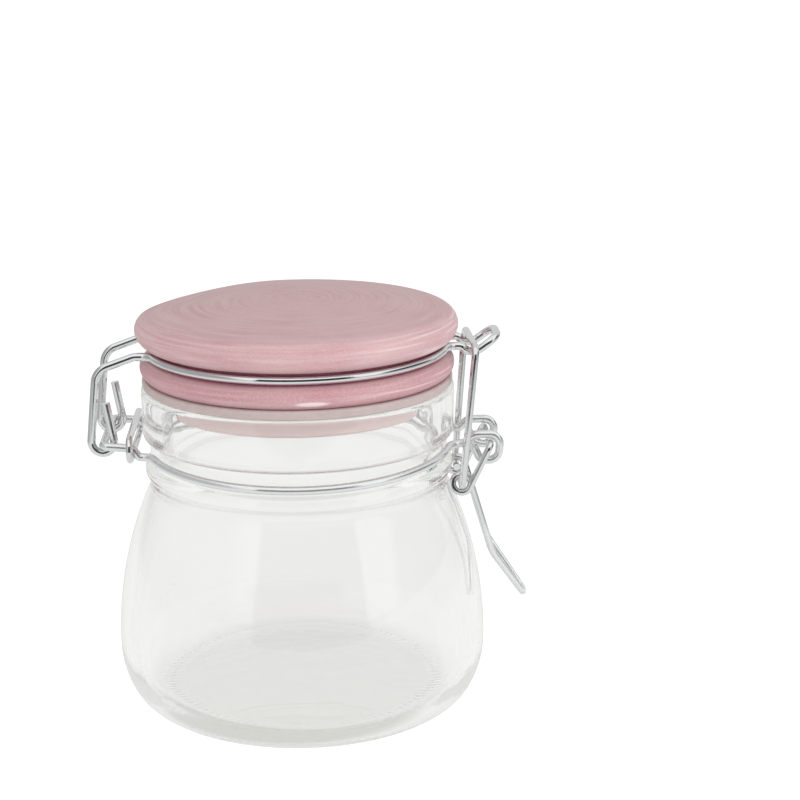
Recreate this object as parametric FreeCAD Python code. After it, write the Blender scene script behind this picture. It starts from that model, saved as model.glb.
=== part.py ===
"""Clip-top preserving jar: glass jar, glazed stoneware lid on a rubber gasket, sprung wire closure.

Millimetres. +Z is up, the hinge is at -X and the latch at +X. The jar is shut and its latch is over centre.
The pieces are drawn about the jar's axis. Before they are written, they are moved along X so that the origin
lies in the middle of the whole's length and width, at the plane it stands on.
"""
import os
from math import acos, asin, atan2, cos, pi, sin, sqrt, tan

import FreeCAD
import Part

V = FreeCAD.Vector

# ---- glass jar ----
BODY_RADIUS = 52.5  # greatest radius of the barrel
BODY_WIDEST_Z = 16.5  # height of that greatest radius
HEEL_WIDTH = 12.0  # how far the rounded heel runs in to the foot
HEEL_ROUND = 9.5  # tighter of the heel's two arcs, next to the foot
BODY_WALL = 3.1
FOOT_WIDTH = 4.0  # flat ring the jar stands on
PUSH_UP = 3.4  # how far the middle of the base is domed up
BASE_GLASS = 5.0  # glass thickness in the middle of the base
FLOOR_DISH = 2.2  # how far the floor's edge lies below its middle
INNER_HEEL = 10.0  # width of the inner rounding from the wall to the floor
INNER_HEEL_ROUND = 8.0  # tighter of its two arcs, next to the floor
INNER_NECK_ROUND = 10.0  # inner rounding from the barrel to the mouth
NECK_RADIUS = 43.4
WAIST_RADIUS = 41.9
WAIST_ROUND = 4.5
WAIST_DROP = 10.4  # middle of that rounding below the neck wires' groove
RIM_Z = 91.6
RIM_ROUND = 1.3
MOUTH_RADIUS = 38.0
BEAD_RADIUS = 43.1  # lower bead under the neck wire
BEAD_ROUND = 3.0
GROOVE_RADIUS = 41.5  # seat of the neck wire
GROOVE_HEIGHT = 5.2
NECK_SKIRT = 16.8  # rim to the middle of that groove
SHOULDER_ROUND = 1.5  # rounded edge above that groove

# ---- gasket ----
GASKET_THICK = 2.6
GASKET_RADIUS = 43.0
GASKET_LIP = 0.8  # rounding of its outer edges
GASKET_BORE_GAP = 0.5  # its bore outside the lid's plug

# ---- stoneware lid ----
PLUG_CLEARANCE = 1.9  # plug to mouth
PLUG_DEPTH = 9.0  # below the flange seat
PLUG_TAPER = 0.9
PLUG_RECESS = 3.0  # hollow underneath
PLUG_FOOT = 5.0  # width of the foot ring round that hollow
FOOT_INSIDE_ROUND = 1.0
FOOT_OUTSIDE_ROUND = 1.5
RECESS_SLOPE = 2.0  # how far the hollow's wall leans in
FLANGE_RADIUS = 43.6
FLANGE_SEAT = 41.0  # outer radius of its flat underside
FLANGE_HEIGHT = 6.4
FLANGE_BELLY = 0.46  # height of its widest point as a share of its height
FLANGE_TOP = 41.2  # radius where its round side ends
FLANGE_TOP_SLOPE = 0.5  # how far the top falls from the groove to there
LID_GROOVE_RADIUS = 39.9
LID_GROOVE_HEIGHT = 3.0
DISC_RADIUS = 44.6
DISC_ROUND = 4.3  # half the thickness of the rounded rim
DISC_CROWN = 3.0  # rise of the dome above the rim
DISC_LEDGE = 1.4  # flat underside beside the groove

# ---- wires ----
RING_WIRE = 2.3  # lid wire and neck wires
LEVER_WIRE = 2.0  # lever and yoke
LINK_WIRE = 1.9
SEAT_GAP = 0.15  # wire to what it lies against
HOOK_GAP = 0.3  # between wires that turn in each other
RING_FILLET = 4.0  # bend where a ring runs out into an arm
TIGHT_BEND = 1.7  # centre-line radius of the sharp bends
NECK_WIRE_LIFT = 0.4  # neck wires above the middle of their groove, in the plane between the two halves
NECK_WIRE_DROOP = 2.2  # how much lower the middle of each half hangs, as its ends are pulled up

# ---- hinge side ----
HINGE_REACH = 11.8  # hinge axis outside the groove of the neck
HINGE_STRAND = 14.6  # half the distance between the neck wires' strands
HINGE_RISE = 2.9  # hinge axis above the neck wires' groove
STRAND_SLOPE = 0.7  # rise of the strands from beside the neck to the hinge axis
STRAND_STEP = 0.5  # level start of a strand outside its bend from the ring
STRAND_RAMP = 2.4  # where its first, steeper rise ends
STRAND_BENDS = (0.9, 1.8)
STUB_GAP = 2.0  # between the two stubs that form the hinge axis
ARM_HALF = 12.0  # half the distance between the lid wire's arms
LID_WIRE_DROP = 0.2  # lid wire's ring below the middle of the lid's groove
ARM_RUN = 1.6  # level start of an arm outside its bend
ARM_RUN_BEND = 3.0
ARM_SHOULDER = 3.7  # outer bend of an arm below the lid wire's ring
ARM_SHOULDER_OUT = 1.1  # and outside the hinge axis
ARM_BEND = 5.0
HOOK_RADIUS = 3.2
HOOK_LEG_GAP = 0.5  # a hook's bend is this much wider than its stub on the outer side
HOOK_TAIL_GAP = 0.3  # and this much on the inner side
HOOK_TAIL_OUT = 1.2  # cut end of a hook towards the jar from the hinge axis
HOOK_TAIL = 14.0  # cut end of a hook above its bottom
LINK_STANDOFF = 4.4  # link outside the groove of the neck
LINK_HEIGHT = 6.2

# ---- latch side ----
NOSE_HALF = 6.0  # half the distance between the strands of the lid wire's nose
NOSE_DIP = 2.7  # bend under the yoke, below the lid wire's ring
NOSE_BEND = 3.8
NOSE_REACH = 14.9  # tip of the nose outside the lid's groove
NOSE_LIFT = 5.2  # tip of the nose above that bend
NOSE_RUN = 2.4  # where a strand starts down, inside the yoke's standoff
NOSE_BEND_OUT = 0.6  # corner of the bend outside the yoke's standoff
NOSE_RUN_BEND = 1.8
NOSE_TIP_BEND = 3.6
EYE_HALF = 8.0  # half the distance between the eyes
EYE_LENGTH = 7.2
EYE_END_GAP = 1.1  # its cut end below the strand
EYE_DEPTH = 7.6
EYE_REACH = 14.2  # outer side of the eye outside the groove of the neck
EYE_RISE = 2.5  # upper side of the eye above the neck wires' groove
EYE_STEP = 0.6  # level start of the eye's strand outside its bend from the ring
EYE_RAMP = 3.0  # where its rise ends
EYE_LEAN = (0.2, -0.4)  # outer side of the eye, at its top and its bottom, from the reach
EYE_SAG = (-0.3, 0.6)  # bottom of the eye, at its outer and its inner corner, from the depth
EYE_INNER = 0.76  # inner corner of the bottom, as a share of the eye's length from its outer side
EYE_BENDS = (0.6, 3.0, 2.9, 2.7, 2.0)
COIL_RADIUS = 2.45  # centre line of the lever's coils
COIL_DROP = 11.2  # coil below the lever's pivot
COIL_STANDOFF = 3.6  # coil's centre outside the neck groove
COIL_SIDES = 4  # straight runs whose bends make one turn
THUMB_ELBOW = (1.6, -21.2)  # elbow of the thumb loop: outside the body's radius, and from the coil's height
THUMB_TIP = (11.4, -35.6)  # tip of the thumb loop, in the same way
THUMB_HALF = 2.6  # half the distance between its strands at the tip
THUMB_BEND = 12.0  # bend of a strand at the elbow
THUMB_TAPER = 0.8  # distance between the strands at the elbow, as a share of that at the coils
PIVOT_END = 1.2  # pivot end inside the eye's wire
BEND_SHARE = 0.98  # bend of a run that is only as long as its two bends, as a share of the full radius
YOKE_STANDOFF = 2.6  # yoke outside the lid's disc
YOKE_SKEW = 0.4  # the crossbar lies this much askew on the nose
YOKE_END = 1.3  # how far its ends come out of the coils
YOKE_BEND = 3.0  # bend at each end of the crossbar

# ---- what follows from them ----
NECK_WIRE_Z = RIM_Z - NECK_SKIRT
WAIST_IN = WAIST_RADIUS + WAIST_ROUND - BODY_RADIUS
WAIST_RISE = NECK_WIRE_Z - WAIST_DROP - BODY_WIDEST_Z
# radius of the long arc that ends upright at the barrel's widest point and touches the waist's rounding
BARREL_ARC = (WAIST_IN**2 + WAIST_RISE**2 - WAIST_ROUND**2) / (2 * (BODY_RADIUS - WAIST_RADIUS))
FLANGE_Z = RIM_Z + GASKET_THICK
LID_GROOVE_Z = FLANGE_Z + FLANGE_HEIGHT
LID_WIRE_Z = LID_GROOVE_Z + LID_GROOVE_HEIGHT / 2 - LID_WIRE_DROP
LID_WIRE_RADIUS = LID_GROOVE_RADIUS + RING_WIRE / 2 + SEAT_GAP
NECK_WIRE_RADIUS = GROOVE_RADIUS + RING_WIRE / 2 + SEAT_GAP
HINGE_X = -(GROOVE_RADIUS + HINGE_REACH)
HINGE_Z = NECK_WIRE_Z + HINGE_RISE
STRAND_Z = HINGE_Z - STRAND_SLOPE
LEVER_HALF = EYE_HALF + RING_WIRE / 2 + LEVER_WIRE / 2 + HOOK_GAP
COIL_PITCH = LEVER_WIRE + HOOK_GAP
YOKE_HALF = LEVER_HALF + LEVER_WIRE + HOOK_GAP
EYE_X = GROOVE_RADIUS + EYE_REACH
EYE_Z = NECK_WIRE_Z + EYE_RISE
PIVOT_X = EYE_X - RING_WIRE / 2 - LEVER_WIRE / 2 - 2 * HOOK_GAP
PIVOT_Z = EYE_Z - RING_WIRE / 2 - LEVER_WIRE / 2 - HOOK_GAP
COIL_X = GROOVE_RADIUS + COIL_STANDOFF
COIL_Z = PIVOT_Z - COIL_DROP
NOSE_X = LID_GROOVE_RADIUS + NOSE_REACH
NOSE_BEND_X = DISC_RADIUS + YOKE_STANDOFF
NOSE_BEND_Z = LID_WIRE_Z - NOSE_DIP


# ---- helpers ----
def unit(v):
    return v / v.Length


def line(a, b):
    return Part.LineSegment(a, b).toShape()


def arc(a, b, c):
    """Arc from a through b to c."""
    return Part.Arc(a, b, c).toShape()


def tangent_arc(centre, radius, start, end):
    """Arc about a centre in the outline's plane, from the ray through start to the ray through end."""
    ends = [unit(p - centre) for p in (start, end)]
    middle = unit(ends[0] + ends[1])
    edge = arc(centre + ends[0] * radius, centre + middle * radius, centre + ends[1] * radius)
    if centre.x < 0:
        # turned about the axis, this arc's circle would cross itself, so it goes in as the same exact curve
        return edge.Curve.toBSpline(edge.FirstParameter, edge.LastParameter).toShape()
    return edge


def height_at(centre, radius, x, side):
    """Height of the point at x that lies the given distance from centre, above it or below it by side."""
    return centre.z + side * sqrt(radius**2 - (x - centre.x) ** 2)


def turned(edges):
    """Solid of revolution of a closed outline about the jar's axis."""
    face = Part.Face(Part.Wire(edges))
    return face.revolve(V(0, 0, 0), V(0, 0, 1), 360)


def bend_at(before, corner, after, radius):
    """Start, centre and end of the tangent arc at a corner."""
    back = unit(before - corner)
    on = unit(after - corner)
    half = acos(max(-1.0, min(1.0, back.dot(on)))) / 2
    reach = radius / tan(half)
    return corner + back * reach, corner + unit(back + on) * (radius / sin(half)), corner + on * reach


def bent(points, radii):
    """Straight runs through points, with a tangent arc of the given radius at each inner point."""
    edges = []
    start = points[0]
    for before, corner, after, radius in zip(points, points[1:], points[2:], radii):
        first, centre, last = bend_at(before, corner, after, radius)
        if (first - start).Length > 1e-3:
            edges.append(line(start, first))
        edges.append(arc(first, centre + unit(corner - centre) * radius, last))
        start = last
    edges.append(line(start, points[-1]))
    return edges


def wire(edges, diameter):
    """Round wire along edges that run on from each other."""
    path = Part.Wire(edges)
    start = edges[0].valueAt(edges[0].FirstParameter)
    along = edges[0].tangentAt(edges[0].FirstParameter)
    section = Part.Wire(Part.makeCircle(diameter / 2, start, along))
    return path.makePipeShell([section], True, False)


def mirrored(shape):
    """The same piece on the other side of the jar."""
    return shape.mirror(V(0, 0, 0), V(0, 1, 0))


def run_out(radius, half, side):
    """Where a ring at y < 0 bends out into an arm along x: bend's ends and middle, ring end first."""
    reach = sqrt((radius + RING_FILLET) ** 2 - (half + RING_FILLET) ** 2)
    centre = V(side * reach, -(half + RING_FILLET), 0)
    on_ring = centre * (radius / (radius + RING_FILLET))
    on_arm = V(side * reach, -half, 0)
    middle = centre + unit(unit(on_ring - centre) + unit(on_arm - centre)) * RING_FILLET
    return on_ring, middle, on_arm


def half_ring(radius, z, hinge_half, latch_half, droop=0.0):
    """Front half of a ring, from its arm at the hinge to its arm at the latch, and both arms' starts.

    It leans about the x axis, so that its middle lies lower than z by the droop.
    """
    lean = asin(droop / radius)

    def leant(p):
        return V(p.x, p.y * cos(lean), z + p.y * sin(lean))

    hinge = [leant(p) for p in run_out(radius, hinge_half, -1)]
    latch = [leant(p) for p in run_out(radius, latch_half, 1)]
    edges = [
        arc(hinge[2], hinge[1], hinge[0]),
        arc(hinge[0], leant(V(0, -radius, 0)), latch[0]),
        arc(latch[0], latch[1], latch[2]),
    ]
    return edges, hinge[2], latch[2]


# ---- pieces ----
def heel(radius, top, width, floor, tight):
    """Two arcs from the floor's edge up to the wall: a tight one, then a wide one that ends upright."""
    height = top - floor
    wide = (width**2 + height**2 - 2 * height * tight) / (2 * (width - tight))
    low = V(radius - width, 0, floor + tight)
    high = V(radius - wide, 0, top)
    touch = high + unit(low - high) * wide
    return [
        tangent_arc(low, tight, V(radius - width, 0, floor), touch),
        tangent_arc(high, wide, touch, V(radius, 0, top)),
    ]


def make_jar():
    foot = BODY_RADIUS - HEEL_WIDTH
    widest = V(BODY_RADIUS, 0, BODY_WIDEST_Z)
    barrel = V(BODY_RADIUS - BARREL_ARC, 0, BODY_WIDEST_Z)
    waist = V(WAIST_RADIUS + WAIST_ROUND, 0, 0)
    waist.z = height_at(barrel, BARREL_ARC + WAIST_ROUND, waist.x, 1)
    bead = V(BEAD_RADIUS - BEAD_ROUND, 0, 0)
    bead.z = height_at(waist, WAIST_ROUND + BEAD_ROUND, bead.x, 1)
    bead_top = V(GROOVE_RADIUS, 0, height_at(bead, BEAD_ROUND, GROOVE_RADIUS, 1))
    groove_top = NECK_WIRE_Z + GROOVE_HEIGHT / 2
    shoulder = V(NECK_RADIUS - SHOULDER_ROUND, 0, groove_top + SHOULDER_ROUND)
    lip = V(NECK_RADIUS - RIM_ROUND, 0, RIM_Z - RIM_ROUND)
    outside = heel(BODY_RADIUS, BODY_WIDEST_Z, HEEL_WIDTH, 0, HEEL_ROUND) + [
        tangent_arc(barrel, BARREL_ARC, widest, waist),
        tangent_arc(waist, WAIST_ROUND, barrel, bead),
        tangent_arc(bead, BEAD_ROUND, waist, bead_top),
        line(bead_top, V(GROOVE_RADIUS, 0, groove_top)),
        line(V(GROOVE_RADIUS, 0, groove_top), V(shoulder.x, 0, groove_top)),
        tangent_arc(shoulder, SHOULDER_ROUND, V(shoulder.x, 0, groove_top), V(NECK_RADIUS, 0, shoulder.z)),
        line(V(NECK_RADIUS, 0, shoulder.z), V(NECK_RADIUS, 0, lip.z)),
        tangent_arc(lip, RIM_ROUND, V(NECK_RADIUS, 0, lip.z), V(lip.x, 0, RIM_Z)),
    ]
    inner_radius = BODY_RADIUS - BODY_WALL
    inner_arc = BARREL_ARC - BODY_WALL
    mouth_lip = V(MOUTH_RADIUS + RIM_ROUND, 0, RIM_Z - RIM_ROUND)
    throat = V(MOUTH_RADIUS + INNER_NECK_ROUND, 0, 0)
    throat.z = height_at(barrel, inner_arc + INNER_NECK_ROUND, throat.x, 1)
    floor_z = PUSH_UP + BASE_GLASS - FLOOR_DISH
    floor_edge = V(inner_radius - INNER_HEEL, 0, floor_z)
    inner_heel = heel(inner_radius, BODY_WIDEST_Z, INNER_HEEL, floor_z, INNER_HEEL_ROUND)
    inside = [
        line(V(lip.x, 0, RIM_Z), V(mouth_lip.x, 0, RIM_Z)),
        tangent_arc(mouth_lip, RIM_ROUND, V(mouth_lip.x, 0, RIM_Z), V(MOUTH_RADIUS, 0, mouth_lip.z)),
        line(V(MOUTH_RADIUS, 0, mouth_lip.z), V(MOUTH_RADIUS, 0, throat.z)),
        tangent_arc(throat, INNER_NECK_ROUND, V(MOUTH_RADIUS, 0, throat.z), barrel),
        tangent_arc(barrel, inner_arc, throat, V(inner_radius, 0, BODY_WIDEST_Z)),
    ]
    inside += inner_heel[::-1]
    base_top = V(0, 0, PUSH_UP + BASE_GLASS)
    push_up = V(0, 0, PUSH_UP)
    foot_inside = V(foot - FOOT_WIDTH, 0, 0)
    inside += [
        shallow_arc(floor_edge, base_top),
        line(base_top, push_up),
        shallow_arc(push_up, foot_inside),
        line(foot_inside, V(foot, 0, 0)),
    ]
    return turned(outside + inside)


def shallow_arc(a, b):
    """Arc of a shallow dish between its edge and its middle on the axis, where it lies level."""
    edge = a if a.x > b.x else b
    middle = b if a.x > b.x else a
    sag = middle.z - edge.z
    radius = (edge.x**2 + sag**2) / (2 * sag)
    return tangent_arc(V(0, 0, middle.z - radius), radius, a, b)


def make_gasket():
    low = RIM_Z
    high = FLANGE_Z
    bore = MOUTH_RADIUS - PLUG_CLEARANCE + GASKET_BORE_GAP
    outer = GASKET_RADIUS
    edge = outer - GASKET_LIP
    lower = V(edge, 0, low + GASKET_LIP)
    upper = V(edge, 0, high - GASKET_LIP)
    return turned(
        [
            line(V(bore, 0, low), V(edge, 0, low)),
            tangent_arc(lower, GASKET_LIP, V(edge, 0, low), V(outer, 0, lower.z)),
            line(V(outer, 0, lower.z), V(outer, 0, upper.z)),
            tangent_arc(upper, GASKET_LIP, V(outer, 0, upper.z), V(edge, 0, high)),
            line(V(edge, 0, high), V(bore, 0, high)),
            line(V(bore, 0, high), V(bore, 0, low)),
        ]
    )


def make_lid():
    plug = MOUTH_RADIUS - PLUG_CLEARANCE
    tip = plug - PLUG_TAPER
    plug_z = FLANGE_Z - PLUG_DEPTH
    recess = plug_z + PLUG_RECESS
    hollow = tip - PLUG_FOOT
    foot_in = V(hollow + FOOT_INSIDE_ROUND, 0, plug_z + FOOT_INSIDE_ROUND)
    foot_out = V(tip - FOOT_OUTSIDE_ROUND, 0, plug_z + FOOT_OUTSIDE_ROUND)
    flange_top = V(FLANGE_TOP, 0, LID_GROOVE_Z - FLANGE_TOP_SLOPE)
    groove_top = LID_GROOVE_Z + LID_GROOVE_HEIGHT
    ledge = V(LID_GROOVE_RADIUS + DISC_LEDGE, 0, groove_top)
    rim = V(DISC_RADIUS - DISC_ROUND, 0, 0)
    rim.z = ledge.z + sqrt(DISC_ROUND**2 - (ledge.x - rim.x) ** 2)
    crown = V(0, 0, rim.z + DISC_ROUND + DISC_CROWN)
    dome = (rim.x**2 + (DISC_ROUND + DISC_CROWN) ** 2 - DISC_ROUND**2) / (2 * DISC_CROWN)
    dome_axis = V(0, 0, crown.z - dome)
    rim_top = dome_axis + unit(rim - dome_axis) * dome
    widest = V(DISC_RADIUS, 0, rim.z)
    return turned(
        [
            line(V(0, 0, recess), V(hollow - RECESS_SLOPE, 0, recess)),
            line(V(hollow - RECESS_SLOPE, 0, recess), V(hollow, 0, foot_in.z)),
            tangent_arc(foot_in, FOOT_INSIDE_ROUND, V(hollow, 0, foot_in.z), V(foot_in.x, 0, plug_z)),
            line(V(foot_in.x, 0, plug_z), V(foot_out.x, 0, plug_z)),
            tangent_arc(foot_out, FOOT_OUTSIDE_ROUND, V(foot_out.x, 0, plug_z), V(tip, 0, foot_out.z)),
            line(V(tip, 0, foot_out.z), V(plug, 0, FLANGE_Z)),
            line(V(plug, 0, FLANGE_Z), V(FLANGE_SEAT, 0, FLANGE_Z)),
            arc(
                V(FLANGE_SEAT, 0, FLANGE_Z),
                V(FLANGE_RADIUS, 0, FLANGE_Z + FLANGE_HEIGHT * FLANGE_BELLY),
                flange_top,
            ),
            line(flange_top, V(LID_GROOVE_RADIUS, 0, LID_GROOVE_Z)),
            line(V(LID_GROOVE_RADIUS, 0, LID_GROOVE_Z), V(LID_GROOVE_RADIUS, 0, groove_top)),
            line(V(LID_GROOVE_RADIUS, 0, groove_top), ledge),
            tangent_arc(rim, DISC_ROUND, ledge, widest),
            tangent_arc(rim, DISC_ROUND, widest, rim_top),
            tangent_arc(dome_axis, dome, rim_top, crown),
            line(crown, V(0, 0, recess)),
        ]
    )


def make_lid_wire():
    """One wire: hook, arm, half ring, nose, half ring, arm, hook."""
    ring, arm, nose = half_ring(LID_WIRE_RADIUS, LID_WIRE_Z, ARM_HALF, NOSE_HALF)
    # the hook hangs from the stub, so its bottom lies one wire and a gap below the hinge axis
    bottom = HINGE_Z - RING_WIRE - HOOK_GAP
    y = -ARM_HALF
    hook = [
        arm,
        V(arm.x - ARM_RUN, y, LID_WIRE_Z),
        V(HINGE_X - ARM_SHOULDER_OUT, y, LID_WIRE_Z - ARM_SHOULDER),
        V(HINGE_X - HOOK_RADIUS - HOOK_LEG_GAP, y, bottom),
        V(HINGE_X + HOOK_RADIUS + HOOK_TAIL_GAP, y, bottom),
        V(HINGE_X + HOOK_TAIL_OUT, y, bottom + HOOK_TAIL),
    ]
    hinge_run = bent(hook, [ARM_RUN_BEND, ARM_BEND, HOOK_RADIUS, HOOK_RADIUS])
    strand = nose_corners(-NOSE_HALF)
    tip = V(NOSE_X, 0, NOSE_BEND_Z + NOSE_LIFT)
    nose_run = bent([nose] + strand + [tip], [NOSE_RUN_BEND, NOSE_BEND, NOSE_TIP_BEND])
    return one_wire(hinge_run[::-1] + ring + nose_run, RING_WIRE)


def nose_corners(y):
    """Corners of one strand of the nose: below the disc, under the yoke, and at the tip."""
    return [
        V(NOSE_BEND_X - NOSE_RUN, y, LID_WIRE_Z),
        V(NOSE_BEND_X + NOSE_BEND_OUT, y, NOSE_BEND_Z),
        V(NOSE_X, y, NOSE_BEND_Z + NOSE_LIFT),
    ]


def yoke_place():
    """Where the yoke's crossbar lies in the bend of the nose."""
    before, corner, after = nose_corners(0)
    centre = bend_at(before, corner, after, NOSE_BEND)[1]
    return centre + unit(corner - centre) * (NOSE_BEND - (RING_WIRE + LEVER_WIRE) / 2 - SEAT_GAP)


def one_wire(front, diameter):
    """A wire whose front half runs to the plane y = 0, with the same half behind it."""
    edges = Part.sortEdges(front + [mirrored(edge) for edge in front])[0]
    return wire(edges, diameter)


def make_neck_wire():
    """Front neck wire: stub of the hinge, strand, half ring, and the eye of the lever."""
    ends_z = NECK_WIRE_Z + NECK_WIRE_LIFT
    ring, hinge, latch = half_ring(NECK_WIRE_RADIUS, ends_z, HINGE_STRAND, EYE_HALF, NECK_WIRE_DROOP)
    y = hinge.y
    strand = bent(
        [
            hinge,
            V(hinge.x - STRAND_STEP, y, hinge.z),
            V(hinge.x - STRAND_RAMP, y, STRAND_Z),
            V(HINGE_X, y, HINGE_Z),
            V(HINGE_X, -STUB_GAP / 2, HINGE_Z),
        ],
        [*STRAND_BENDS, TIGHT_BEND],
    )
    bottom = EYE_Z - EYE_DEPTH
    y = latch.y
    eye = bent(
        [
            latch,
            V(latch.x + EYE_STEP, y, latch.z),
            V(latch.x + EYE_RAMP, y, EYE_Z),
            V(EYE_X + EYE_LEAN[0], y, EYE_Z),
            V(EYE_X + EYE_LEAN[1], y, bottom + EYE_SAG[0]),
            V(EYE_X - EYE_LENGTH * EYE_INNER, y, bottom + EYE_SAG[1]),
            V(EYE_X - EYE_LENGTH, y, EYE_Z - RING_WIRE - EYE_END_GAP),
        ],
        EYE_BENDS,
    )
    return wire(strand[::-1] + ring + eye, RING_WIRE)


def make_link():
    """Closed oval ring that ties the two neck wires together beside the hinge."""
    x = -(GROOVE_RADIUS + LINK_STANDOFF)
    end = HINGE_STRAND + RING_WIRE / 2 + LINK_WIRE / 2 + HOOK_GAP
    top = STRAND_Z + STRAND_SLOPE / 2 + RING_WIRE / 2 + LINK_WIRE / 2 + HOOK_GAP
    low = top - LINK_HEIGHT
    bend = LINK_HEIGHT / 2
    middle = (top + low) / 2
    edges = [
        line(V(x, -end + bend, top), V(x, end - bend, top)),
        arc(V(x, end - bend, top), V(x, end, middle), V(x, end - bend, low)),
        line(V(x, end - bend, low), V(x, -end + bend, low)),
        arc(V(x, -end + bend, low), V(x, -end, middle), V(x, -end + bend, top)),
    ]
    return wire(edges, LINK_WIRE)


def coil(heading_in, heading_out):
    """Corners of a clockwise turn about the coil's centre, seen from the front, in equal bends."""
    turn = (heading_in - heading_out) % (2 * pi)
    share = turn / COIL_SIDES
    corners = []
    for i in range(COIL_SIDES):
        # a corner lies to the left of the mean heading of its two runs
        mean = heading_in - share * (i + 0.5)
        reach = COIL_RADIUS / cos(share / 2)
        y = -LEVER_HALF + COIL_PITCH * (i + 0.5) / COIL_SIDES
        corners.append(V(COIL_X - reach * sin(mean), y, COIL_Z + reach * cos(mean)))
    return corners


def make_lever():
    """One wire: pivot end, leg, coil, thumb loop, and the same back again."""
    pivot = V(PIVOT_X, -LEVER_HALF, PIVOT_Z)
    to_coil = V(COIL_X, 0, COIL_Z) - V(PIVOT_X, 0, PIVOT_Z)
    aim = atan2(to_coil.z, to_coil.x)
    # the leg touches the coil on its outer side
    heading_in = aim + asin_ratio(COIL_RADIUS, to_coil.Length)
    elbow = V(BODY_RADIUS + THUMB_ELBOW[0], 0, COIL_Z + THUMB_ELBOW[1])
    from_coil = elbow - V(COIL_X, 0, COIL_Z)
    heading_out = atan2(from_coil.z, from_coil.x) - asin_ratio(COIL_RADIUS, from_coil.Length)
    corners = coil(heading_in, heading_out)
    elbow.y = -(LEVER_HALF - COIL_PITCH) * THUMB_TAPER
    tip = V(BODY_RADIUS + THUMB_TIP[0], -THUMB_HALF, COIL_Z + THUMB_TIP[1])
    points = [V(PIVOT_X, -EYE_HALF + RING_WIRE / 2 + PIVOT_END, PIVOT_Z), pivot] + corners
    points += [elbow, tip, V(tip.x, 0, tip.z)]
    bends = [TIGHT_BEND] + [COIL_RADIUS * BEND_SHARE] * COIL_SIDES + [THUMB_BEND, THUMB_HALF * BEND_SHARE]
    return one_wire(bent(points, bends), LEVER_WIRE)


def asin_ratio(opposite, hypotenuse):
    return atan2(opposite, sqrt(hypotenuse**2 - opposite**2))


def make_yoke():
    """One wire over the nose, whose ends turn in through the lever's coils."""
    inner = LEVER_HALF - COIL_PITCH - LEVER_WIRE / 2 - YOKE_END
    bar = yoke_place()
    points = [
        V(COIL_X, -inner, COIL_Z),
        V(COIL_X, -YOKE_HALF, COIL_Z),
        V(bar.x + YOKE_SKEW, -YOKE_HALF, bar.z),
        V(bar.x - YOKE_SKEW, YOKE_HALF, bar.z),
        V(COIL_X, YOKE_HALF, COIL_Z),
        V(COIL_X, inner, COIL_Z),
    ]
    return wire(bent(points, [TIGHT_BEND, YOKE_BEND, YOKE_BEND, TIGHT_BEND]), LEVER_WIRE)


def main():
    os.makedirs("parts", exist_ok=True)
    neck_wire = make_neck_wire()
    pieces = {
        "jar": make_jar(),
        "gasket": make_gasket(),
        "lid": make_lid(),
        "lid_wire": make_lid_wire(),
        "neck_wire_front": neck_wire,
        "neck_wire_rear": mirrored(neck_wire),
        "link": make_link(),
        "lever": make_lever(),
        "yoke": make_yoke(),
    }
    whole = Part.makeCompound(list(pieces.values())).optimalBoundingBox()
    to_middle = V(-(whole.XMin + whole.XMax) / 2, 0, 0)
    print("jar's axis at x =", round(to_middle.x, 3))
    for name, shape in pieces.items():
        shape = shape.translated(to_middle)
        solids = shape.Solids
        if len(solids) != 1 or not shape.isValid():
            raise ValueError(f"{name}: {len(solids)} solids, valid {shape.isValid()}")
        solid = solids[0]
        if solid.Volume < 0:
            solid.reverse()
        solid.exportStep(f"parts/{name}.step")
        print(name, round(solid.Volume), "mm3")


main()
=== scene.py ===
"""Clip-top preserving jar: its glass, glazed lid, gasket and wires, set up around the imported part."""
from math import atan2, cos, pi, radians, sin, sqrt

import bmesh
import bpy
from mathutils import Matrix, Vector, noise


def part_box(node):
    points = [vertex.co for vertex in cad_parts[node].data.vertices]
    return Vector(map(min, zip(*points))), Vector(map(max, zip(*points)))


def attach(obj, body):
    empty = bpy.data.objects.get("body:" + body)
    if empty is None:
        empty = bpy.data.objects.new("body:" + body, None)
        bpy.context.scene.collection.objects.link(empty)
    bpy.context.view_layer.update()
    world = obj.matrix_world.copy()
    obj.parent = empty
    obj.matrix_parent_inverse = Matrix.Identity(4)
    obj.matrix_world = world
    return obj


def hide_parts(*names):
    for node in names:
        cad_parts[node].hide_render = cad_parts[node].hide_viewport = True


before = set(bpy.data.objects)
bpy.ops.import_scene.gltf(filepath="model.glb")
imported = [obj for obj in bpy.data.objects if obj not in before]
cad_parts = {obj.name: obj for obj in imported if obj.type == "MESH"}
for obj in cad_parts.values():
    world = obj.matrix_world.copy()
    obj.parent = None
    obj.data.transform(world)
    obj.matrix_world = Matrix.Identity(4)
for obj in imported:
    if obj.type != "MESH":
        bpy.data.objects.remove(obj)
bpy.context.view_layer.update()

bl_info = {
    "name": "Clip-top preserving jar",
    "version": (1, 0, 0),
    "blender": (4, 5, 0),
    "location": "3D View > Sidebar > Jar",
    "description": "Builds the glass, glazed lid, gasket and bright wires of a clip-top preserving jar",
    "category": "Object",
}

MM = 0.001
ROOT = "root"
BRIGHT_WIRES = ("lid_wire", "link", "lever", "yoke")
NECK_WIRES = ("neck_wire_front", "neck_wire_rear")

# ---- where the frame puts the jar ----
LOW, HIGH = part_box("jar")
AXIS = Vector(((LOW.x + HIGH.x) / 2, (LOW.y + HIGH.y) / 2, 0))

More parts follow.
